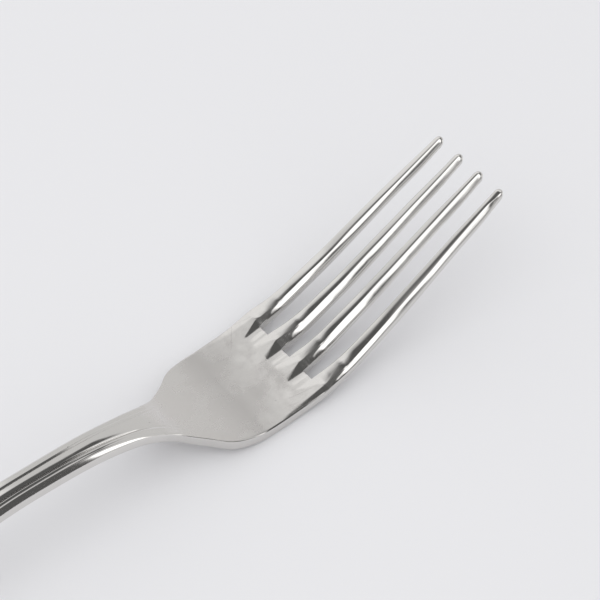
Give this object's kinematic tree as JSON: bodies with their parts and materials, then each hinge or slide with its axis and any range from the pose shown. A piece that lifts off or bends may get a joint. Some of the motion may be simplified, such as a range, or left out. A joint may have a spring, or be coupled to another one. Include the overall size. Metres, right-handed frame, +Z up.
{
  "type": "dinner fork",
  "caption": "Forged stainless steel dinner fork with a threaded handle, a curved neck, a shallow hollow head and slender rounded tines.",
  "frame": {"origin": "on the table under the middle of the fork's length and width, with the fork lying hollow side up", "axes": "+X towards the tine tips, +Y to the fork's left, +Z up"},
  "size_m": [0.2, 0.0254, 0.0265],
  "materials": {
    "steel": "polished stainless steel, gone slightly satin with use, with fine scratches and faint water marks on the head"
  },
  "bodies": {
    "root": {"handle_end": "steel", "handle": "steel", "neck": "steel", "root_plate": "steel", "tine_outer_left": "steel", "tine_inner_left": "steel", "tine_inner_right": "steel", "tine_outer_right": "steel"}
  },
  "joints": []
}
